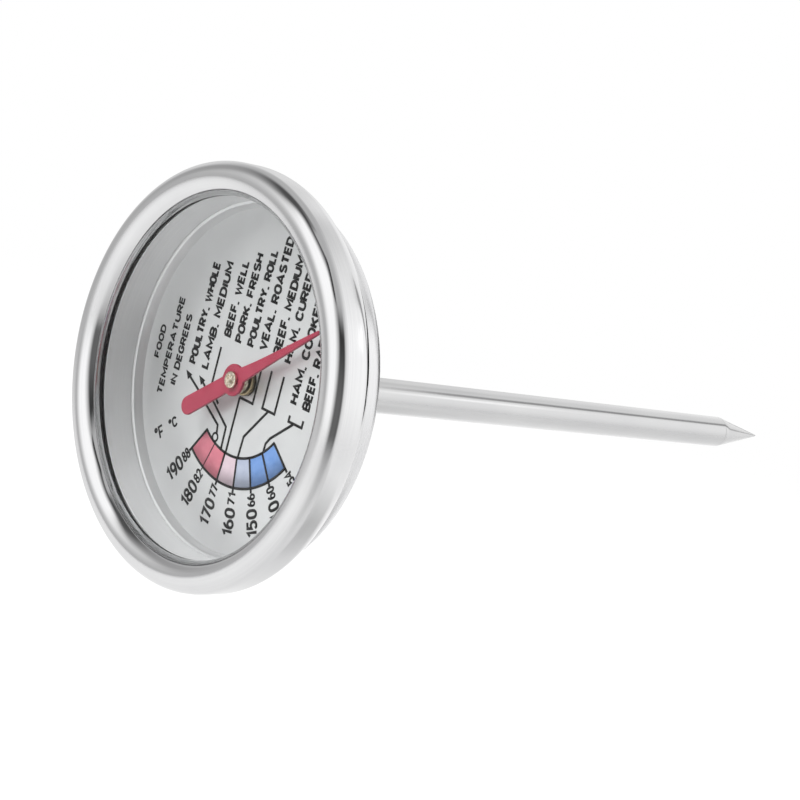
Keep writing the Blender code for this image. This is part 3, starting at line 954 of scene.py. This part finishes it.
def studio_world():
    """Pale room with cards and strips that the metal mirrors; the camera sees plain white."""
    world = bpy.data.worlds.new("studio")
    world.use_nodes = True
    tree = world.node_tree
    tree.nodes.clear()

    def add(kind, **values):
        node = tree.nodes.new(kind)
        for key, value in values.items():
            setattr(node, key, value)
        return node

    def math(operation, a, b=0.0):
        node = add("ShaderNodeMath", operation=operation)
        for socket, value in zip(node.inputs, (a, b)):
            if isinstance(value, (int, float)):
                socket.default_value = value
            else:
                tree.links.new(value, socket)
        return node.outputs[0]

    def window(value, half, soft):
        node = add("ShaderNodeMapRange", interpolation_type="SMOOTHSTEP")
        node.inputs["From Min"].default_value = half + soft / 2
        node.inputs["From Max"].default_value = max(half - soft / 2, 0.0)
        tree.links.new(math("ABSOLUTE", value), node.inputs["Value"])
        return node.outputs[0]

    def mixed(mask, value, level):
        keep = math("MULTIPLY", math("SUBTRACT", 1.0, mask), level)
        return math("ADD", keep, math("MULTIPLY", mask, value))

    split = add("ShaderNodeSeparateXYZ")
    tree.links.new(add("ShaderNodeTexCoord").outputs["Generated"], split.inputs[0])
    x, y, z = split.outputs
    height = math("MULTIPLY", math("ARCSINE", z), 180 / pi)
    level = ROOM
    for _, azimuth, half_az, elevation, half_el, soft, value in CARDS:
        a = radians(azimuth)
        ahead = math("ADD", math("MULTIPLY", x, sin(a)), math("MULTIPLY", y, -cos(a)))
        aside = math("ADD", math("MULTIPLY", x, cos(a)), math("MULTIPLY", y, sin(a)))
        turn = math("MULTIPLY", math("ARCTAN2", aside, ahead), 180 / pi)
        mask = window(math("SUBTRACT", height, float(elevation)), half_el, soft)
        if half_az < 180:
            mask = math("MULTIPLY", mask, window(turn, half_az, soft))
        level = mixed(mask, value, level)
    over = math("MULTIPLY", math("ARCTAN2", z, x), 180 / pi)
    for _, angle, half, soft, far, value in STRIPS:
        mask = window(math("SUBTRACT", over, float(angle)), half, soft)
        middle = (STRIP_NEAR + far) / 2
        length = window(math("SUBTRACT", y, middle), (far - STRIP_NEAR) / 2, 0.02)
        level = mixed(math("MULTIPLY", mask, length), value, level)
    room = add("ShaderNodeBackground")
    tree.links.new(level, room.inputs["Strength"])
    backdrop = add("ShaderNodeBackground")
    backdrop.inputs["Strength"].default_value = 1.0
    for node in (room, backdrop):
        node.inputs["Color"].default_value = (1.0, 1.0, 1.0, 1.0)
    mix = add("ShaderNodeMixShader")
    tree.links.new(add("ShaderNodeLightPath").outputs["Is Camera Ray"], mix.inputs[0])
    tree.links.new(room.outputs[0], mix.inputs[1])
    tree.links.new(backdrop.outputs[0], mix.inputs[2])
    tree.links.new(mix.outputs[0], add("ShaderNodeOutputWorld").inputs["Surface"])
    scene.world = world


def key_light():
    """Soft square lamp at the upper left in front, which throws the pointer's shadow."""
    azimuth, elevation, distance = radians(-38), radians(42), 0.7
    lamp = bpy.data.lights.new("key", "AREA")
    lamp.size = 0.2
    lamp.energy = 5.5
    back = Vector((sin(azimuth) * cos(elevation), -cos(azimuth) * cos(elevation), sin(elevation)))
    made = bpy.data.objects.new("key", lamp)
    made.visible_glossy = False
    made.location = back * distance
    made.rotation_mode = "QUATERNION"
    made.rotation_quaternion = back.to_track_quat("Z", "Y")
    scene.collection.objects.link(made)


def camera():
    """Looks at the stem's upper part from the front right, a little above, and rolled."""
    azimuth, elevation, roll = radians(45.02), radians(9.4), radians(-15.28)
    aim = Vector((-0.0001, 0.02473, -0.00034))
    distance = 0.2442
    back = Vector((sin(azimuth) * cos(elevation), -cos(azimuth) * cos(elevation), sin(elevation)))
    side = Vector((0, 0, 1)).cross(back).normalized()
    level = back.cross(side)
    up = level * cos(roll) + side * sin(roll)
    right = up.cross(back)
    data = bpy.data.cameras.new("camera")
    data.lens = 77.89
    data.sensor_width = 36.0
    data.clip_start = 0.01
    data.clip_end = 20.0
    made = bpy.data.objects.new("camera", data)
    turn = Matrix((right, up, back)).transposed().to_4x4()
    made.matrix_world = Matrix.Translation(aim + back * distance) @ turn
    scene.collection.objects.link(made)
    scene.camera = made


stage_floor()
studio_world()
key_light()
camera()

bpy.context.view_layer.update()
